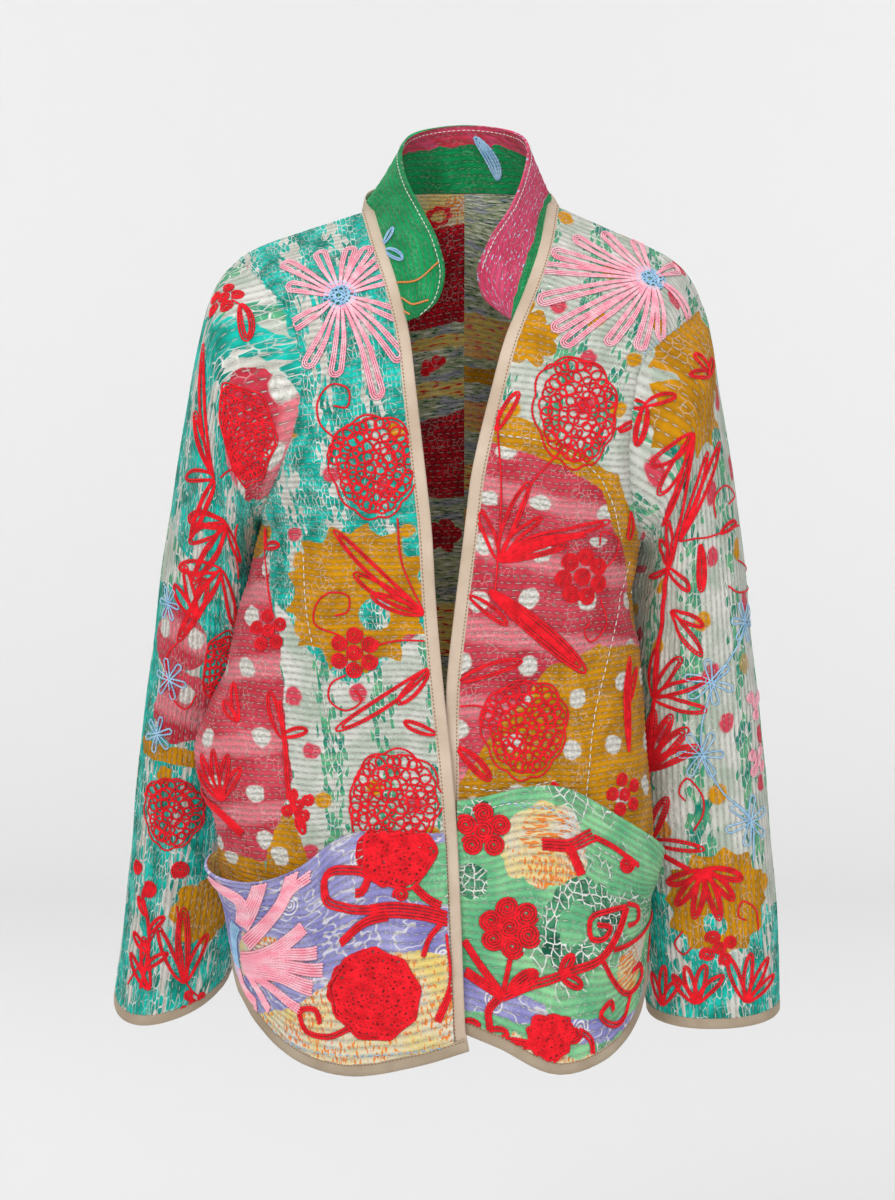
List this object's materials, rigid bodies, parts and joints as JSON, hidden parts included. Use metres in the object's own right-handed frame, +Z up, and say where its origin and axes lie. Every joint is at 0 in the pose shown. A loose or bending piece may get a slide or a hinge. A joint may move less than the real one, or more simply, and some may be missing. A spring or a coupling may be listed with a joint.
{
  "type": "open quilted patchwork jacket",
  "caption": "Open-front hip-length jacket in stitched patchwork with a stand collar, dropped sleeves, patch pockets and a bound, rounded hem, filled out as worn.",
  "frame": {"origin": "between the two points where the neck meets the shoulders, at the height of the shoulder line, where the wearer holds the jacket up", "axes": "+Z up, +X to the wearer's left, front towards -Y"},
  "size_m": [0.5795, 0.2433, 0.7868],
  "materials": {
    "body_patchwork": "matte running-stitched cotton",
    "sleeve_patchwork": "matte running-stitched cotton",
    "pastel_cotton": "matte running-stitched cotton",
    "green_pink_cotton": "matte running-stitched cotton",
    "bias_binding": "matte plain-woven cotton"
  },
  "bodies": {
    "root": {"front_right": "body_patchwork", "front_left": "body_patchwork", "back_right": "body_patchwork", "back_left": "body_patchwork", "sleeve_right": "sleeve_patchwork", "sleeve_left": "sleeve_patchwork", "collar": "green_pink_cotton", "pocket_right": "pastel_cotton", "pocket_left": "pastel_cotton", "binding_front_right": "bias_binding", "binding_front_left": "bias_binding", "binding_neck": "bias_binding", "binding_hem_right": "bias_binding", "binding_hem_left": "bias_binding", "binding_hem_back": "bias_binding", "binding_cuff_right": "bias_binding", "binding_cuff_left": "bias_binding"}
  },
  "joints": []
}
